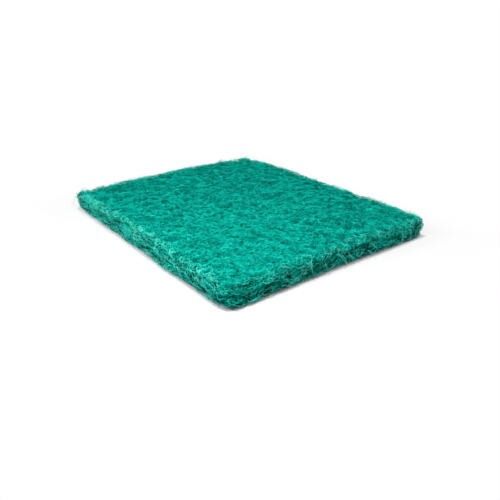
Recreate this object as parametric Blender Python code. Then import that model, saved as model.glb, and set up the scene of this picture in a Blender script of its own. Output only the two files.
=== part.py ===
"""A hand-size scouring pad of non-woven fibre, lying flat.

Metres, +Z up. X runs across the pad and Y along it. The origin is under the middle of the pad, on
the flat underside at z = 0. The pad was cut as one piece from a lofty web, so it is one solid: a slab
with rounded corners, a crowned and uneven top, and cut edges where the layers of the web show.
"""

import math

import bmesh
import bpy
from mathutils import Euler, Vector, noise

# Slab
PAD_WIDTH = 0.125
PAD_LENGTH = 0.150
CORNER_THICKNESS = 0.0098
TOP_EDGE_RADIUS = 0.0024
BOTTOM_EDGE_RADIUS = 0.0010

# Corners, each cut a little differently
FRONT_LEFT_RADIUS = 0.0070
FRONT_RIGHT_RADIUS = 0.0036
BACK_RIGHT_RADIUS = 0.0050
BACK_LEFT_RADIUS = 0.0032

# The most that an edge's rounding may take of a corner's, so that the corner stays round inside it
EDGE_SHARE_OF_CORNER = 0.8

# Uneven top: it stands lowest at the four corners, and the web's clumps leave small hollows between them
CROWN_HEIGHT = 0.0012
SWELL_HEIGHT = 0.0006
SWELL_SPAN = 0.034
CLUMP_HEIGHT = 0.0005
CLUMP_SPAN = 0.0085
HOLLOW_DEPTH = 0.0013
HOLLOW_SPAN = 0.0042

# Where the noise that places the hollows starts one, and how much more of it makes a full one
HOLLOW_START = 0.12
HOLLOW_RISE = 0.35

# Cut edge
WANDER_DEPTH = 0.0011
WANDER_SPAN = 0.034
WANDER_REACH = 0.014
LAYER_DEPTH = 0.0011
LAYER_SPAN = 0.016
LAYER_THICKNESS = 0.0013

# Tuft torn out of the edge at +X: its place along Y, and how deep and wide the gap is
TEAR_PLACE = -0.0295
TEAR_DEPTH = 0.0020
TEAR_WIDTH = 0.0105

# Facets
CELL_SIZE = 0.0026
CORNER_FACETS = 6
TOP_EDGE_FACETS = 3
BOTTOM_EDGE_FACETS = 2

PAD_NAME = "scouring_pad"
PAD_COLOUR = (0.010, 0.300, 0.235, 1.0)
PAD_ROUGHNESS = 0.75


# Turn of the noise, so that its grid shows in no face of the pad
NOISE_TILT = Euler((0.5, 0.7, 0.3)).to_matrix()

# Each corner's radius, by which side of X = 0 and of Y = 0 it lies on
CORNER_RADII = {
    (False, False): FRONT_LEFT_RADIUS,
    (True, False): FRONT_RIGHT_RADIUS,
    (True, True): BACK_RIGHT_RADIUS,
    (False, True): BACK_LEFT_RADIUS,
}


def clear_scene():
    for obj in list(bpy.data.objects):
        bpy.data.objects.remove(obj)


def make_collection(name):
    collection = bpy.data.collections.new(name)
    bpy.context.scene.collection.children.link(collection)
    return collection


def pad_material():
    material = bpy.data.materials.new("green_fibre_web")
    material.use_nodes = True
    shader = material.node_tree.nodes["Principled BSDF"]
    shader.inputs["Base Color"].default_value = PAD_COLOUR
    shader.inputs["Roughness"].default_value = PAD_ROUGHNESS
    shader.inputs["Metallic"].default_value = 0.0
    material.diffuse_color = PAD_COLOUR
    return material


def corner_radius(x, y):
    return CORNER_RADII[x > 0, y > 0]


def fitted_edge(radius):
    return min(radius, EDGE_SHARE_OF_CORNER * min(CORNER_RADII.values()))


def add_block(bm):
    """The block that the pad is cut from, with its underside at z = 0."""
    made = bmesh.ops.create_cube(bm, size=1.0)["verts"]
    bmesh.ops.translate(bm, verts=made, vec=(0.0, 0.0, 0.5))
    bmesh.ops.scale(bm, verts=made, vec=(PAD_WIDTH, PAD_LENGTH, CORNER_THICKNESS))


def round_edges(bm, wanted, radius, facets):
    edges = [edge for edge in bm.edges if wanted(edge)]
    bmesh.ops.bevel(
        bm,
        geom=edges,
        offset=radius,
        offset_type="OFFSET",
        segments=facets,
        profile=0.5,
        affect="EDGES",
        clamp_overlap=False,
    )


def upright_at(sides):
    """Picks the block's upright edge on these sides of X = 0 and of Y = 0."""

    def wanted(edge):
        low, high = (vert.co for vert in edge.verts)
        return abs(high.z - low.z) > CORNER_THICKNESS / 2 and (low.x > 0, low.y > 0) == sides

    return wanted


def at_height(height):
    def wanted(edge):
        return all(abs(vert.co.z - height) < 1e-6 for vert in edge.verts)

    return wanted


def cuts_between(low, high, pitch):
    """Evenly spaced places strictly between low and high, about pitch apart."""
    count = max(round((high - low) / pitch), 1)
    return [low + (high - low) * k / count for k in range(1, count)]


def slice_block(bm, axis, places):
    """Cuts every face along planes across one axis, which keeps the solid closed."""
    normal = Vector((0.0, 0.0, 0.0))
    normal[axis] = 1.0
    for place in places:
        geometry = bm.verts[:] + bm.edges[:] + bm.faces[:]
        bmesh.ops.bisect_plane(bm, geom=geometry, dist=1e-6, plane_co=normal * place, plane_no=normal)


def slice_into_cells(bm):
    for axis, side in ((0, PAD_WIDTH), (1, PAD_LENGTH)):
        reach = side / 2 - min(CORNER_RADII.values())
        slice_block(bm, axis, [-reach, *cuts_between(-reach, reach, CELL_SIZE), reach])
    wall_top = CORNER_THICKNESS - fitted_edge(TOP_EDGE_RADIUS)
    slice_block(bm, 2, cuts_between(fitted_edge(BOTTOM_EDGE_RADIUS), wall_top, LAYER_THICKNESS))


def rim_frame(x, y):
    """How far (x, y) lies inside the straight-cut outline, and the way straight out of it."""
    radius = corner_radius(x, y)
    past_x = abs(x) - (PAD_WIDTH / 2 - radius)
    past_y = abs(y) - (PAD_LENGTH / 2 - radius)
    if past_x > 0 and past_y > 0:
        reach = math.hypot(past_x, past_y)
        out = Vector((math.copysign(past_x, x), math.copysign(past_y, y), 0.0)) / reach
        return radius - reach, out
    if past_x > past_y:
        return radius - past_x, Vector((math.copysign(1.0, x), 0.0, 0.0))
    return radius - past_y, Vector((0.0, math.copysign(1.0, y), 0.0))


def smooth_step(value):
    value = min(max(value, 0.0), 1.0)
    return value * value * (3 - 2 * value)


def bumps(place, span, seed):
    """Smooth noise from -1 to 1 that changes over about one span."""
    across = NOISE_TILT @ Vector((place[0], place[1], 0.0))
    return noise.noise(across / span + Vector((seed, seed, seed)))


def top_lift(x, y):
    """How far the uneven top stands above its height at the corners."""
    across = (2 * x / PAD_WIDTH) ** 2
    along = (2 * y / PAD_LENGTH) ** 2
    crown = CROWN_HEIGHT * (1 - across * along)
    swell = SWELL_HEIGHT * bumps((x, y), SWELL_SPAN, 1.7)
    clump = CLUMP_HEIGHT * bumps((x, y), CLUMP_SPAN, 3.1)
    hollow = HOLLOW_DEPTH * smooth_step((bumps((x, y), HOLLOW_SPAN, 11.9) - HOLLOW_START) / HOLLOW_RISE)
    return crown + swell + clump - hollow


def tear_depth(x, y):
    """The small gap in the edge at +X, where a tuft was torn out."""
    if x <= 0:
        return 0.0
    return TEAR_DEPTH * (1 - smooth_step(abs(y - TEAR_PLACE) / (TEAR_WIDTH / 2)))


def edge_depth(place):
    """How far the cut edge lies inside the straight outline: a wandering cut, and each layer's own end."""
    wander = WANDER_DEPTH * (0.5 + 0.5 * bumps(place, WANDER_SPAN, 9.1))
    height = place.z / LAYER_THICKNESS
    layer = LAYER_DEPTH * noise.noise(Vector((place.x / LAYER_SPAN, place.y / LAYER_SPAN, height)))
    return wander + layer + tear_depth(place.x, place.y)


def shape_vertex(place):
    inside, out = rim_frame(place.x, place.y)
    near_rim = 1 - smooth_step(inside / WANDER_REACH)
    moved = place - out * edge_depth(place) * near_rim
    moved.z = place.z * (1 + top_lift(place.x, place.y) / CORNER_THICKNESS)
    return moved


def centre_on_origin(bm):
    for axis in (0, 1):
        places = [vert.co[axis] for vert in bm.verts]
        middle = (min(places) + max(places)) / 2
        for vert in bm.verts:
            vert.co[axis] -= middle


def scouring_pad():
    bm = bmesh.new()
    add_block(bm)
    for sides, radius in CORNER_RADII.items():
        round_edges(bm, upright_at(sides), radius, CORNER_FACETS)
    round_edges(bm, at_height(CORNER_THICKNESS), fitted_edge(TOP_EDGE_RADIUS), TOP_EDGE_FACETS)
    round_edges(bm, at_height(0.0), fitted_edge(BOTTOM_EDGE_RADIUS), BOTTOM_EDGE_FACETS)
    slice_into_cells(bm)
    for vert in bm.verts:
        vert.co = shape_vertex(vert.co)
    centre_on_origin(bm)
    bmesh.ops.recalc_face_normals(bm, faces=bm.faces[:])
    mesh = bpy.data.meshes.new(PAD_NAME)
    bm.to_mesh(mesh)
    bm.free()
    mesh.shade_smooth()
    mesh.materials.append(pad_material())
    return bpy.data.objects.new(PAD_NAME, mesh)


def main():
    clear_scene()
    make_collection("Scouring pad").objects.link(scouring_pad())


main()
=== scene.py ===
"""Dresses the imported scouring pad: an uneven ground of matted web, with thousands of curly fibres over it.

Metres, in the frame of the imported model: X across the pad, Y along it, Z up, the underside at z = 0.
"""

import math

import bpy
import numpy as np
from mathutils import Euler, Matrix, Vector, noise
from mathutils.bvhtree import BVHTree


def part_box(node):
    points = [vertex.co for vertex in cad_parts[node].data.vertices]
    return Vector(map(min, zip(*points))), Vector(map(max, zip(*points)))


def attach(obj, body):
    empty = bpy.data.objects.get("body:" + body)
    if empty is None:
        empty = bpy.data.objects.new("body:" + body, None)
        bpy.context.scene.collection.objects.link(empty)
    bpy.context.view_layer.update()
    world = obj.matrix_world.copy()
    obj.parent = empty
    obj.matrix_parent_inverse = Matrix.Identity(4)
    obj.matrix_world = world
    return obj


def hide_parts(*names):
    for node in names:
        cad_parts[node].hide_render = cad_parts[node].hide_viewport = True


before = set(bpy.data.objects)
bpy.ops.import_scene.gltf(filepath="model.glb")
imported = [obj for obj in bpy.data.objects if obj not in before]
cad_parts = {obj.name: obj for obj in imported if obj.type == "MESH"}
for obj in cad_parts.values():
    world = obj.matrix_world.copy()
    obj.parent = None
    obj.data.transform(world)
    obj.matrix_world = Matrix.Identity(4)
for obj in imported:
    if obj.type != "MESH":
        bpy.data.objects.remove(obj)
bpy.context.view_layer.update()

PAD_NODE = "scouring_pad"
PAD_LOW, PAD_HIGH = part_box(PAD_NODE)
PAD_CENTRE = (PAD_LOW + PAD_HIGH) / 2

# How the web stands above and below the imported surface. The noise that places the pits starts one at
# PIT_START, and PIT_RISE more of it makes a full one.
CLUMP_HEIGHT = 0.0002
CLUMP_SPAN = 0.0050
TUFT_HEIGHT = 0.0004
TUFT_SPAN = 0.0015
PIT_DEPTH = 0.0004
PIT_SPAN = 0.0030
PIT_START = 0.40
PIT_RISE = 0.30
LAYER_HEIGHT = 0.0012
LAYER_SPAN = 0.0080
LAYER_PITCH = 0.0017

# Places on the top where the web is thin and sinks: X, Y, radius and depth. Tufts roughen their outline.
THIN_PLACES = (
    (0.0203, -0.0525, 0.0042, 0.0024),
    (0.0090, -0.0458, 0.0030, 0.0018),
    (0.0287, -0.0537, 0.0026, 0.0010),
    (0.0289, -0.0627, 0.0024, 0.0012),
    (-0.0010, -0.0508, 0.0024, 0.0010),
    (0.0305, -0.0348, 0.0028, 0.0010),
)
THIN_ROUGHNESS = 0.9

# Ground of matted web under the loose fibres: its facets, how deep it lies on the broad faces and on the
# cut edge, its lowest point, and how much darker its cut edge is, which is painted shade in the deep gaps
# there
GROUND_FACET = 0.0010
GROUND_SINK = 0.0008
GROUND_WALL_SINK = 0.0013
GROUND_REST = 0.0003
GROUND_WALL_SHADE = -0.80

# Fibres. Each follows most of the web's relief, shakes a little from step to step, and is levelled at each
# step, so that it runs along the cut edge.
FIBRE_SEED = 20
FIBRE_RADIUS = 0.000085
FIBRE_STEPS = 8
FIBRE_STEP = 0.0012
FIBRE_SIDES = 3
FIBRE_TAPER = 0.55
FIBRE_FOLLOW = 0.85
FIBRE_SHAKE = 0.12
LEVELLING = 0.6

# Each fibre's cell in the flat map: how much longer than wide it is, and its margin
STRIP_ASPECT = 2.2
STRIP_MARGIN = 0.08

# Tone, from 0 for dark to 1 for light: how much it gains for each metre of height, and on the upper rim.
# Both are
# painted light and shade: lighter where the web stands proud, darker where it lies deep and where the top
# rolls over into the cut edge. The stops give the colours of the ground, the green fibres and the pale
# fibres.
DEPTH_SHADE_FALL = 220.0
# Painted shade on the upper rim, where the top rolls over into the cut edge
RIM_SHADE = -0.02
GROUND_STOPS = [
    (0.26, (0.0000, 0.008, 0.006)),
    (0.42, (0.0000, 0.075, 0.055)),
    (0.58, (0.0005, 0.300, 0.230)),
    (0.78, (0.0020, 0.600, 0.480)),
]
GREEN_STOPS = [
    (0.12, (0.000, 0.040, 0.030)),
    (0.32, (0.000, 0.230, 0.175)),
    (0.52, (0.001, 0.620, 0.490)),
    (0.85, (0.012, 0.950, 0.800)),
]
PALE_STOPS = [
    (0.20, (0.002, 0.60, 0.44)),
    (0.55, (0.022, 0.92, 0.69)),
    (0.90, (0.160, 1.00, 0.83)),
]

# Bands along the outline, seen from above, that hold the rim fibres and the pale fibres
RIM_WIDTH = 0.0042
PALE_WIDTH = 0.0030

# How thickly the pale fibres lie: 1 along the upper rim at -X, less on the cut edge and on the other sides.
# They lie in patches, and few are near the two corners at -X. They are partly painted highlight: they stand
# in for glints along the rims, and lie thickest at -X, the side the key light falls on.
PALE_ON_EDGE = 0.9
PALE_ON_OTHER_SIDES = 0.5
PALE_AT_CORNERS = 0.2
PALE_CLEAR = 0.018
PALE_PATCH_SPAN = 0.007

# Stray fibres, most of them on the cut edge at -Y
STRAY_COUNT = 11
STRAY_STEP = 0.0009
STRAY_RADII = (0.00009, 0.00014)
STRAY_TONES = (0.95, 0.10)
STRAYS_ELSEWHERE = 0.08

# Lights: name, place, width and power
LIGHTS = (
    ("key_light", (-0.30, 0.09, 0.20), 0.10, 0.71),
    ("top_light", (-0.061, -0.077, 0.108), 0.08, 0.132),
    ("fill_light", (0.32, -0.25, 0.15), 0.20, 0.81),
)
WHITE = (1.0, 1.0, 1.0, 1.0)
WORLD_LIGHT = 0.25

# Floor. It shows the whole shadow under the pad, and only the share 1 - FLOOR_GLOW of it from CONTACT_REACH
# past the pad's outline. That share fades to plain white between FLOOR_FADE_START and FLOOR_FADE_END.
FLOOR_SIZE = 6.0
FLOOR_CLEAR = 0.0004
FLOOR_SHADE = 1.0
FLOOR_BOUNCE = 0.12
FLOOR_GLOW = 0.78
CONTACT_REACH = 0.0016
FLOOR_FADE_START = 0.003
FLOOR_FADE_END = 0.040

# Camera, fitted to the photograph
CAMERA_AZIMUTH = -37.9
CAMERA_ELEVATION = 24.8
CAMERA_DISTANCE = 0.3135
CAMERA_TARGET = (0.0108, 0.0046, -0.0226)
CAMERA_LENS = 38.63
CAMERA_SENSOR = 36.0
CAMERA_CLIP = (0.01, 20.0)


def new_mesh(name, points, faces):
    """A smooth mesh from points and a list of arrays of faces, one array for each number of corners."""
    mesh = bpy.data.meshes.new(name)
    corners = np.concatenate([part.ravel() for part in faces])
    counts = np.concatenate([np.full(len(part), part.shape[1]) for part in faces])
    starts = np.concatenate([[0], np.cumsum(counts)[:-1]])
    mesh.vertices.add(len(points))
    mesh.vertices.foreach_set("co", np.ascontiguousarray(points, np.float32).ravel())
    mesh.loops.add(len(corners))
    mesh.loops.foreach_set("vertex_index", corners.astype(np.int32))
    mesh.polygons.add(len(counts))
    mesh.polygons.foreach_set("loop_start", starts.astype(np.int32))
    mesh.update(calc_edges=True)
    mesh.validate()
    mesh.shade_smooth()
    return mesh


def add_object(name, data):
    obj = bpy.data.objects.new(name, data)
    bpy.context.scene.collection.objects.link(obj)
    return obj


def vertex_values(mesh, name):
    """Each vertex's own co or normal, as one row of an array."""
    found = np.empty(len(mesh.vertices) * 3, np.float32)
    mesh.vertices.foreach_get(name, found)
    return found.reshape(-1, 3).astype(float)


def smooth_step(value):
    value = np.clip(value, 0.0, 1.0)
    return value * value * (3 - 2 * value)


# Turns of the noise, so that its grid shows in no flat face
TILT = np.array(Euler((0.5, 0.7, 0.3)).to_matrix())
SPIN = np.array(Euler((0.0, 0.0, 0.4)).to_matrix())


def noise_at(points, spans, seed, turn=TILT):
    """Smooth noise from -1 to 1 at each point, with one span, or with its own along each turned axis."""
    scaled = points @ turn / np.asarray(spans) + seed
    return np.array([noise.noise(Vector(place)) for place in scaled])


def wall_share(outs):
    """1 on the cut edge, 0 on the broad faces, and between them on the rims."""
    return 1 - smooth_step((np.abs(outs[:, 2]) - 0.2) / 0.5)


def under_share(outs):
    """1 on the underside and its rim, which lie flat on what the pad stands on."""
    return smooth_step((-outs[:, 2] - 0.05) / 0.35)


def rim_share(outs):
    """1 where the upper rim turns from the broad face to the cut edge, 0 away from it: where painted shade
    darkens the fibres.
    """
    return smooth_step(1 - np.abs(outs[:, 2] - 0.6) / 0.45)


def thin_depth(points, outs, tufts):
    """How deep the web sinks at its thin places, which the tufts give a rough outline."""
    depth = np.zeros(len(points))
    for x, y, radius, deepest in THIN_PLACES:
        away = np.hypot(points[:, 0] - x, points[:, 1] - y) / radius
        depth = np.maximum(depth, deepest * (1 - smooth_step(away + THIN_ROUGHNESS * tufts)))
    return depth * (outs[:, 2] > 0.5)


def web_height(points, outs):
    """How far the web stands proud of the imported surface, with its clumps, tufts, pits and edge layers."""
    wall = wall_share(outs)
    clumps = noise_at(points, CLUMP_SPAN, seed=3.1)
    tufts = noise_at(points, TUFT_SPAN, seed=7.7)
    pits = smooth_step((noise_at(points, PIT_SPAN, seed=11.9) - PIT_START) / PIT_RISE)
    layers = noise_at(points, (LAYER_SPAN, LAYER_SPAN, LAYER_PITCH), seed=1.3, turn=SPIN)
    broad = CLUMP_HEIGHT * clumps + TUFT_HEIGHT * tufts * (1 - 0.5 * wall)
    broad = broad - PIT_DEPTH * pits * (1 - wall)
    height = broad + LAYER_HEIGHT * layers * wall - thin_depth(points, outs, tufts)
    return height - under_share(outs) * np.maximum(height, 0.0)


class Nodes:
    """A material's node tree, with short calls to add and join its nodes."""

    def __init__(self, name):
        self.material = bpy.data.materials.new(name)
        self.material.use_nodes = True
        self.tree = self.material.node_tree
        self.shader = self.tree.nodes["Principled BSDF"]
        self.output = self.tree.nodes["Material Output"]

    def add(self, kind, **settings):
        node = self.tree.nodes.new(kind)
        for key, value in settings.items():
            setattr(node, key, value)
        return node

    def join(self, source, target):
        self.tree.links.new(source, target)

    def noise(self, place, scale, detail=2.0, roughness=0.5, distortion=0.0):
        node = self.add("ShaderNodeTexNoise")
        node.inputs["Scale"].default_value = scale
        node.inputs["Detail"].default_value = detail
        node.inputs["Roughness"].default_value = roughness
        node.inputs["Distortion"].default_value = distortion
        self.join(place, node.inputs["Vector"])
        return node.outputs["Fac"]

    def ramp(self, factor, stops):
        node = self.add("ShaderNodeValToRGB")
        elements = node.color_ramp.elements
        while len(elements) < len(stops):
            elements.new(0.5)
        for element, (place, colour) in zip(elements, stops):
            element.position = place
            element.color = (*colour, 1.0)
        self.join(factor, node.inputs["Fac"])
        return node.outputs["Color"]

    def maths(self, operation, first, second):
        node = self.add("ShaderNodeMath", operation=operation)
        for socket, value in zip(node.inputs, (first, second)):
            if isinstance(value, (int, float)):
                socket.default_value = value
            else:
                self.join(value, socket)
        return node.outputs["Value"]

    def curly_lines(self, place, scale, shift, width):
        """Thin curly lines, 1 at their middle: where a smooth noise crosses its middle value."""
        moved = self.add("ShaderNodeVectorMath", operation="ADD")
        self.join(place, moved.inputs[0])
        moved.inputs[1].default_value = (shift, shift, shift)
        field = self.noise(moved.outputs["Vector"], scale, detail=1.0, roughness=0.4)
        away = self.maths("ABSOLUTE", self.maths("SUBTRACT", field, 0.5), 0.0)
        return self.rise(away, width, 0.0)

    def rise(self, value, start, end):
        """Goes smoothly from 0 where the value is start to 1 where it is end."""
        node = self.add("ShaderNodeMapRange", interpolation_type="SMOOTHSTEP")
        node.inputs["From Min"].default_value = start
        node.inputs["From Max"].default_value = end
        self.join(value, node.inputs["Value"])
        return node.outputs["Result"]

    def bump(self, height, strength, distance):
        node = self.add("ShaderNodeBump")
        node.inputs["Strength"].default_value = strength
        node.inputs["Distance"].default_value = distance
        self.join(height, node.inputs["Height"])
        self.join(node.outputs["Normal"], self.shader.inputs["Normal"])


def ground_material():
    """Matted fibres: curly lines of lighter fibre over darker ones, and painted shade that makes them dark
    in the hollows and on the cut edge.
    """
    nodes = Nodes("matted_web")
    place = nodes.add("ShaderNodeTexCoord").outputs["Object"]
    # The height attribute holds the ground's tone with painted shade and light: lighter where the web stands
    # proud, darker where it lies deep and on the cut edge.
    height = nodes.add("ShaderNodeAttribute", attribute_name="height").outputs["Fac"]
    lines = nodes.curly_lines(place, 420.0, 0.0, 0.045)
    for scale, shift in ((560.0, 1.7), (330.0, 4.1), (760.0, 7.3)):
        lines = nodes.maths("MAXIMUM", lines, nodes.curly_lines(place, scale, shift, 0.040))
    streaks = nodes.noise(place, 1400.0, detail=3.0, roughness=0.65, distortion=1.4)
    fibres = nodes.maths("ADD", nodes.maths("MULTIPLY", lines, 0.34), nodes.maths("MULTIPLY", streaks, 0.44))
    mixed = nodes.maths("ADD", fibres, nodes.maths("MULTIPLY", height, 0.34))
    nodes.join(nodes.ramp(mixed, GROUND_STOPS), nodes.shader.inputs["Base Color"])
    nodes.shader.inputs["Roughness"].default_value = 0.8
    nodes.shader.inputs["Specular IOR Level"].default_value = 0.03
    nodes.bump(fibres, 0.8, 0.0003)
    return nodes.material


def fibre_material(name, stops, roughness, shine):
    """Resin-coated fibre. Each has its own tone, which painted shade makes darker where it lies deep, and
    which drifts along it.
    """
    nodes = Nodes(name)
    place = nodes.add("ShaderNodeTexCoord").outputs["Object"]
    tone = nodes.add("ShaderNodeAttribute", attribute_name="tone").outputs["Fac"]
    drift = nodes.noise(place, 260.0)
    mixed = nodes.maths("ADD", nodes.maths("MULTIPLY", tone, 0.75), nodes.maths("MULTIPLY", drift, 0.25))
    nodes.join(nodes.ramp(mixed, stops), nodes.shader.inputs["Base Color"])
    nodes.shader.inputs["Roughness"].default_value = roughness
    nodes.shader.inputs["Specular IOR Level"].default_value = shine
    nodes.bump(nodes.noise(place, 4200.0, detail=1.0), 0.35, 0.00006)
    return nodes.material


def set_field(mesh, name, values):
    mesh.attributes.new(name, "FLOAT", "POINT").data.foreach_set("value", values.astype(np.float32))


def add_ground():
    """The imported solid's surface, rebuilt in even facets and raised into clumps, tufts and layers."""
    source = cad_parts[PAD_NODE]
    ground = add_object("web_ground", source.data.copy())
    ground.modifiers.new("Even facets", "REMESH").voxel_size = GROUND_FACET
    graph = bpy.context.evaluated_depsgraph_get()
    mesh = bpy.data.meshes.new_from_object(ground.evaluated_get(graph))
    ground.modifiers.clear()
    ground.data = mesh
    points, normals = vertex_values(mesh, "co"), vertex_values(mesh, "normal")
    height = web_height(points, normals)
    sink = GROUND_SINK + (GROUND_WALL_SINK - GROUND_SINK) * wall_share(normals)
    points += normals * (height - sink)[:, None]
    points[:, 2] = np.maximum(points[:, 2], GROUND_REST)
    mesh.vertices.foreach_set("co", points.astype(np.float32).ravel())
    mesh.update()
    mesh.shade_smooth()
    # Painted shade and light: the tone falls where the web lies deep and on the cut edge, and rises where it
    # stands proud.
    tone = 0.5 + height * DEPTH_SHADE_FALL + GROUND_WALL_SHADE * wall_share(normals)
    set_field(mesh, "height", np.clip(tone, 0, 1))
    mesh.materials.clear()
    mesh.materials.append(ground_material())
    return ground


def surface_tree():
    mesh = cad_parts[PAD_NODE].data
    return BVHTree.FromPolygons([v.co for v in mesh.vertices], [p.vertices[:] for p in mesh.polygons])


SURFACE = surface_tree()


def nearest(points):
    """For each point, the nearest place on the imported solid, and the way out of it there."""
    places, outs = np.empty_like(points), np.empty_like(points)
    for k, point in enumerate(points):
        place, out, _, _ = SURFACE.find_nearest(point)
        places[k], outs[k] = place, out
    return places, outs


def unit(vectors):
    return vectors / np.maximum(np.linalg.norm(vectors, axis=-1, keepdims=True), 1e-12)


def turned(vectors, axes, angles):
    """Each vector turned about its own unit axis, which it is square to."""
    return vectors * np.cos(angles)[:, None] + np.cross(axes, vectors) * np.sin(angles)[:, None]


def laid_paths(rng, starts, headings, steps, step, lift, crimp, curl):
    """Paths of fibres that wander over the web's surface, level where they run along the cut edge.

    Gives their points and outward ways, each (fibres, steps + 1, 3), and how high each point lies.
    """
    count = len(starts)
    places, outs = nearest(starts)
    headings = unit(headings - outs * (headings * outs).sum(1, keepdims=True))
    phase, pace = rng.uniform(0, 2 * np.pi, count), rng.uniform(0.5, 1.3, count)
    bend = rng.normal(0, curl, count)
    base, swing = rng.uniform(*lift, count), rng.uniform(0.2, 1.0, count) * (lift[1] - lift[0]) * 0.5
    wave, wave_pace = rng.uniform(0, 2 * np.pi, count), rng.uniform(0.9, 1.9, count)
    paths, ways = np.empty((count, steps + 1, 3)), np.empty((count, steps + 1, 3))
    heights = np.empty((count, steps + 1))
    for k in range(steps + 1):
        height = FIBRE_FOLLOW * web_height(places, outs) + base + swing * np.sin(wave + wave_pace * k)
        heights[:, k] = height - under_share(outs) * np.maximum(height, 0.0)
        paths[:, k] = places + outs * heights[:, k, None]
        ways[:, k] = outs
        turn = bend + crimp * np.sin(phase + pace * k) + rng.normal(0, FIBRE_SHAKE, count)
        headings = turned(headings, outs, turn)
        places, outs = nearest(places + headings * step)
        headings = headings - outs * (headings * outs).sum(1, keepdims=True)
        headings[:, 2] *= LEVELLING
        headings = unit(headings)
    return paths, ways, heights


def hanging_paths(rng, starts, steps, step):
    """Paths of stray fibres that hang out of the cut edge, as far down as what the pad lies on."""
    count = len(starts)
    places, outs = nearest(starts)
    along = unit(np.cross(outs, (0.0, 0.0, 1.0)))
    up = np.array([0.0, 0.0, 1.0])
    headings = unit(outs + along * rng.normal(0, 0.6, (count, 1)) + up * rng.uniform(-0.9, 0.1, (count, 1)))
    droop, sway = rng.uniform(0.35, 0.60, (count, 1)), rng.normal(0, 0.20, (count, 1))
    paths, ways = np.empty((count, steps + 1, 3)), np.empty((count, steps + 1, 3))
    for k in range(steps + 1):
        paths[:, k] = places
        ways[:, k] = unit(along + 0.4 * up)
        places = places + headings * step
        places[:, 2] = np.maximum(places[:, 2], FIBRE_RADIUS)
        headings = unit(headings - droop * up + sway * along + rng.normal(0, 0.06, (count, 3)))
    return paths, ways, np.zeros((count, steps + 1))


def tubes(paths, ways, radii, sides):
    """Closed tubes along paths, as points and faces. radii holds one radius for each fibre."""
    count, rings, _ = paths.shape
    along = unit(np.gradient(paths, axis=1))
    up = unit(ways - along * (ways * along).sum(2, keepdims=True))
    across = np.cross(along, up)
    taper = np.ones(rings)
    taper[0] = taper[-1] = FIBRE_TAPER
    size = radii[:, None] * taper[None, :]
    angles = np.pi / 2 + 2 * np.pi * np.arange(sides) / sides
    points = (
        paths[:, :, None]
        + (up[:, :, None] * np.sin(angles)[:, None] + across[:, :, None] * np.cos(angles)[:, None])
        * size[:, :, None, None]
    )
    index = np.arange(count * rings * sides).reshape(count, rings, sides)
    first, second = index[:, :-1], index[:, 1:]
    after = np.roll(index, -1, axis=2)
    quads = np.stack([first, after[:, :-1], after[:, 1:], second], axis=-1).reshape(-1, 4)
    caps = np.concatenate([index[:, 0, ::-1], index[:, -1]])
    return points.reshape(-1, 3), [quads, caps]


def strip_map(count, rings, sides):
    """A flat map of the tubes, each in its own cell, as a place for each face corner of tubes()."""
    columns = math.ceil(math.sqrt(count / STRIP_ASPECT))
    rows = math.ceil(count / columns)
    tube = np.arange(count)
    cells = np.stack([tube % columns, tube // columns], 1)
    ring, side = np.arange(rings - 1)[:, None, None], np.arange(sides)[None, :, None]
    along, around = np.broadcast_arrays(
        (ring + np.array([0, 0, 1, 1])) / (rings - 1), (side + np.array([0, 1, 1, 0])) / sides
    )
    quads = np.stack([along, around], -1)
    cap = np.array([(-1.0, 0.0), (0.0, 0.5), (-1.0, 1.0)]) * (STRIP_MARGIN / 2, 1.0)
    corners = [
        (cells[:, None] + STRIP_MARGIN + (1 - 2 * STRIP_MARGIN) * part.reshape(1, -1, 2)).reshape(-1, 2)
        for part in (quads, cap, cap * (-1, 1) + (1, 0))
    ]
    return np.concatenate(corners) / (columns, rows)


def add_fibres(name, rng, paths, ways, heights, radii, tones, material):
    """One piece of fibres along paths. tones holds the mean and the spread of the fibres' own tones."""
    paths[:, :, 2] = np.maximum(paths[:, :, 2], radii[:, None])
    points, faces = tubes(paths, ways, radii, FIBRE_SIDES)
    mesh = new_mesh(name, points, faces)
    places = strip_map(*paths.shape[:2], FIBRE_SIDES)
    mesh.uv_layers.new(name="OFBake").data.foreach_set("uv", places.astype(np.float32).ravel())
    own = rng.normal(*tones, len(paths))[:, None]
    rims = rim_share(ways.reshape(-1, 3)).reshape(heights.shape)
    # Painted shade and light: the tone rises where the fibre stands proud, falls where it lies deep, and
    # falls on the upper rim.
    tone = np.clip(own + heights * DEPTH_SHADE_FALL + RIM_SHADE * rims, 0, 1)
    set_field(mesh, "tone", np.repeat(tone.ravel(), FIBRE_SIDES))
    mesh.materials.append(material)
    return add_object(name, mesh)


def scattered(rng, count, wanted):
    """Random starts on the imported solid, as thick on each face as wanted(centres, normals) says."""
    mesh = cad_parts[PAD_NODE].data
    mesh.calc_loop_triangles()
    corners = np.empty(len(mesh.loop_triangles) * 3, np.int32)
    mesh.loop_triangles.foreach_get("vertices", corners)
    triangles = vertex_values(mesh, "co")[corners.reshape(-1, 3)]
    cross = np.cross(triangles[:, 1] - triangles[:, 0], triangles[:, 2] - triangles[:, 0])
    area = np.linalg.norm(cross, axis=1) / 2
    weight = area * wanted(triangles.mean(1), unit(cross))
    pick = rng.choice(len(triangles), count, p=weight / weight.sum())
    u, v = rng.uniform(size=(2, count, 1))
    fold = u + v > 1
    u, v = np.where(fold, 1 - u, u), np.where(fold, 1 - v, v)
    a, b, c = (triangles[pick, k] for k in range(3))
    return a + u * (b - a) + v * (c - a)


def any_heading(rng, count):
    angles = rng.uniform(0, 2 * np.pi, count)
    return np.stack([np.cos(angles), np.sin(angles), np.zeros(count)], 1)


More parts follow.
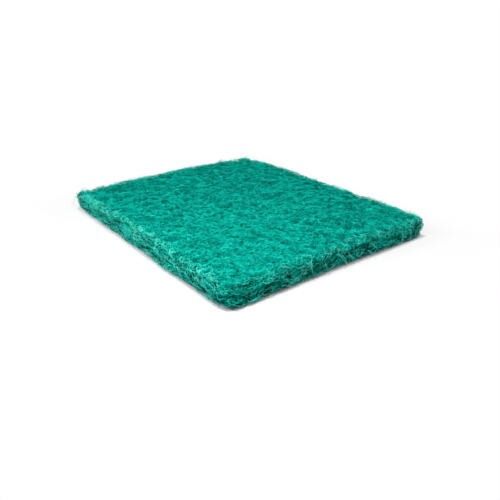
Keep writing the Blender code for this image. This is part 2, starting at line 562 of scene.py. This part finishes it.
def edge_heading(rng, starts, spread):
    """Headings along the cut edge, with a little climb."""
    _, outs = nearest(starts)
    along = unit(np.cross(outs, (0.0, 0.0, 1.0)))
    way = rng.choice([-1.0, 1.0], len(starts))[:, None]
    climb = rng.normal(0, spread, len(starts))[:, None] * np.array([0.0, 0.0, 1.0])
    return unit(along * way + climb)


def facing_up(centres, normals):
    return (normals[:, 2] > 0.3).astype(float)


def on_edge(centres, normals):
    return (np.abs(normals[:, 2]) <= 0.6).astype(float)


def on_stray(centres, normals):
    """The upper half of the cut edge, mostly where it faces -Y."""
    side = np.where(normals[:, 1] < -0.8, 1.0, STRAYS_ELSEWHERE)
    return on_edge(centres, normals) * (centres[:, 2] > PAD_CENTRE.z) * side


def facing_down(centres, normals):
    return (normals[:, 2] < -0.3).astype(float)


def inset(points):
    """How far each point lies inside the pad's outline, seen from above."""
    half = np.array(PAD_HIGH - PAD_LOW)[:2] / 2
    return (half - np.abs(points[:, :2] - np.array(PAD_CENTRE)[:2])).min(1)


def on_rim(centres, normals):
    return ((normals[:, 2] > 0.25) & (inset(centres) < RIM_WIDTH)).astype(float)


def on_pale_glints(centres, normals):
    """Pale fibres and painted highlight: in patches along the upper rim and the cut edge, mostly at -X where
    the key light falls, but few at its corners.
    """
    rim = (normals[:, 2] > 0.10) & (inset(centres) < PALE_WIDTH)
    wall = np.abs(normals[:, 2]) <= 0.10
    patches = 0.7 + 0.6 * smooth_step(0.5 + 1.5 * noise_at(centres, PALE_PATCH_SPAN, seed=5.3))
    side = np.where(centres[:, 0] < PAD_LOW.x + RIM_WIDTH, 1.0, PALE_ON_OTHER_SIDES)
    from_ends = np.minimum(centres[:, 1] - PAD_LOW.y, PAD_HIGH.y - centres[:, 1])
    from_corners = np.hypot(centres[:, 0] - PAD_LOW.x, from_ends)
    clear = PALE_AT_CORNERS + (1 - PALE_AT_CORNERS) * smooth_step(from_corners / PALE_CLEAR)
    return (rim + wall * PALE_ON_EDGE) * patches * side * clear


def make_fibres():
    rng = np.random.default_rng(FIBRE_SEED)
    green = fibre_material("green_fibre", GREEN_STOPS, 0.6, 0.04)
    pale = fibre_material("pale_fibre", PALE_STOPS, 0.5, 0.15)
    made = []
    share = 1.0

    def lay(name, count, wanted, heading, lift, crimp, curl, material,
            radius=FIBRE_RADIUS, step=FIBRE_STEP, tones=(0.50, 0.22)):
        """A piece of fibres that lie between the heights of lift, with waves (crimp) and a bend (curl)."""
        count = round(count * share)
        starts = scattered(rng, count, wanted)
        laid = laid_paths(rng, starts, heading(starts), FIBRE_STEPS, step, lift, crimp, curl)
        radii = radius * rng.uniform(0.75, 1.25, count)
        made.append(add_fibres(name, rng, *laid, radii, tones, material))

    def loose(starts):
        return any_heading(rng, len(starts))

    def along_edge(starts):
        return edge_heading(rng, starts, 0.25)

    for k in range(3):
        lay(f"top_fibres_{k + 1}", 3420, facing_up, loose, lift=(-0.0006, 0.0003), crimp=0.95, curl=0.75,
            material=green, step=0.00088, tones=(0.47, 0.18))
    lay("top_fibres_4", 1200, facing_up, loose, lift=(-0.0001, 0.0005), crimp=0.95, curl=0.80,
        material=green, radius=0.00009, step=0.00085, tones=(0.62, 0.16))
    lay("edge_fibres_1", 2400, on_edge, along_edge, lift=(-0.0014, 0.0003), crimp=0.65, curl=0.20,
        material=green, radius=0.00011, step=0.00105, tones=(0.22, 0.38))
    lay("edge_fibres_2", 1000, on_edge, along_edge, lift=(-0.0007, 0.0004), crimp=0.60, curl=0.16,
        material=green, radius=0.00014, step=0.00080, tones=(0.90, 0.20))
    lay("rim_fibres", 800, on_rim, loose, lift=(-0.0003, 0.0012), crimp=0.80, curl=0.50,
        material=green, radius=0.00007, step=0.0008)
    lay("underside_fibres", 500, facing_down, loose, lift=(-0.0004, 0.0001), crimp=0.5, curl=0.1,
        material=green)
    # Pale fibres, partly painted highlight: glints along the rims, thickest at -X where the key light falls.
    lay("pale_glint_fibres", 1590, on_pale_glints, along_edge, lift=(0.0000, 0.0006), crimp=0.45, curl=0.16,
        material=pale, radius=0.000095, step=0.00048, tones=(0.92, 0.38))
    strays = hanging_paths(rng, scattered(rng, STRAY_COUNT, on_stray), FIBRE_STEPS, STRAY_STEP)
    radii = rng.uniform(*STRAY_RADII, STRAY_COUNT)
    made.append(add_fibres("stray_fibres", rng, *strays, radii, STRAY_TONES, pale))
    return made


def add_lights():
    """Soft disks of light that face the middle of the pad."""
    for name, place, width, power in LIGHTS:
        light = bpy.data.lights.new(name, "AREA")
        light.shape = "DISK"
        light.size = width
        light.energy = power
        obj = add_object(name, light)
        obj.location = place
        obj.rotation_mode = "QUATERNION"
        obj.rotation_quaternion = (PAD_CENTRE - Vector(place)).to_track_quat("-Z", "Y")


def backdrop_rays(tree):
    """1 for the rays that see the plain backdrop: the camera's own, and those off gloss or through glass."""
    path = tree.nodes.new("ShaderNodeLightPath")
    found = path.outputs["Is Camera Ray"]
    for kind in ("Is Glossy Ray", "Is Transmission Ray"):
        either = tree.nodes.new("ShaderNodeMath")
        either.operation = "MAXIMUM"
        tree.links.new(found, either.inputs[0])
        tree.links.new(path.outputs[kind], either.inputs[1])
        found = either.outputs["Value"]
    return found


def floor_material():
    """White: it takes the pad's shadow under and near the pad, and fades to plain white away from it."""
    nodes = Nodes("white_floor")
    nodes.tree.nodes.remove(nodes.shader)
    place = nodes.add("ShaderNodeTexCoord").outputs["Object"]
    outside = nodes.add("ShaderNodeVectorMath", operation="ABSOLUTE")
    nodes.join(place, outside.inputs[0])
    axes = nodes.add("ShaderNodeSeparateXYZ")
    nodes.join(outside.outputs["Vector"], axes.inputs["Vector"])
    past_x = nodes.maths("SUBTRACT", axes.outputs["X"], (PAD_HIGH.x - PAD_LOW.x) / 2)
    past_y = nodes.maths("SUBTRACT", axes.outputs["Y"], (PAD_HIGH.y - PAD_LOW.y) / 2)
    reach = nodes.maths("MAXIMUM", past_x, past_y)
    near = nodes.rise(reach, -CONTACT_REACH / 2, CONTACT_REACH)
    far = nodes.rise(reach, FLOOR_FADE_START, FLOOR_FADE_END)
    plain = nodes.maths(
        "ADD", nodes.maths("MULTIPLY", near, FLOOR_GLOW), nodes.maths("MULTIPLY", far, 1 - FLOOR_GLOW)
    )
    rays = backdrop_rays(nodes.tree)
    shade = nodes.add("ShaderNodeMapRange")
    shade.inputs["To Min"].default_value = FLOOR_BOUNCE
    shade.inputs["To Max"].default_value = FLOOR_SHADE
    nodes.join(rays, shade.inputs["Value"])
    matt = nodes.add("ShaderNodeBsdfDiffuse")
    nodes.join(shade.outputs["Result"], matt.inputs["Color"])
    glow = nodes.add("ShaderNodeEmission")
    glow.inputs["Color"].default_value = WHITE
    mix = nodes.add("ShaderNodeMixShader")
    nodes.join(nodes.maths("MULTIPLY", plain, rays), mix.inputs["Fac"])
    nodes.join(matt.outputs["BSDF"], mix.inputs[1])
    nodes.join(glow.outputs["Emission"], mix.inputs[2])
    nodes.join(mix.outputs["Shader"], nodes.output.inputs["Surface"])
    return nodes.material


def add_floor():
    half = FLOOR_SIZE / 2
    corners = np.array([(-half, -half, 0.0), (half, -half, 0.0), (half, half, 0.0), (-half, half, 0.0)])
    mesh = new_mesh("floor", corners, [np.array([[0, 1, 2, 3]])])
    mesh.materials.append(floor_material())
    floor = add_object("floor", mesh)
    floor.location = (0.0, 0.0, PAD_LOW.z - FLOOR_CLEAR)


def add_world():
    world = bpy.data.worlds.new("pale_studio")
    world.use_nodes = True
    tree = world.node_tree
    background = tree.nodes["Background"]
    strength = tree.nodes.new("ShaderNodeMapRange")
    strength.inputs["To Min"].default_value = WORLD_LIGHT
    strength.inputs["To Max"].default_value = 1.0
    tree.links.new(backdrop_rays(tree), strength.inputs["Value"])
    tree.links.new(strength.outputs["Result"], background.inputs["Strength"])
    background.inputs["Color"].default_value = WHITE
    bpy.context.scene.world = world


def add_camera():
    azimuth, elevation = math.radians(CAMERA_AZIMUTH), math.radians(CAMERA_ELEVATION)
    flat = math.cos(elevation)
    back = Vector((math.sin(azimuth) * flat, -math.cos(azimuth) * flat, math.sin(elevation)))
    camera = bpy.data.cameras.new("camera")
    camera.lens = CAMERA_LENS
    camera.sensor_width = CAMERA_SENSOR
    camera.clip_start, camera.clip_end = CAMERA_CLIP
    obj = add_object("camera", camera)
    obj.location = Vector(CAMERA_TARGET) + back * CAMERA_DISTANCE
    obj.rotation_mode = "QUATERNION"
    obj.rotation_quaternion = (-back).to_track_quat("-Z", "Y")
    bpy.context.scene.camera = obj


def main():
    bpy.context.scene.view_settings.view_transform = "Standard"
    add_camera()
    add_world()
    add_lights()
    add_floor()
    ground = add_ground()
    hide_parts(PAD_NODE)
    for piece in [ground, *make_fibres()]:
        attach(piece, "root")


main()
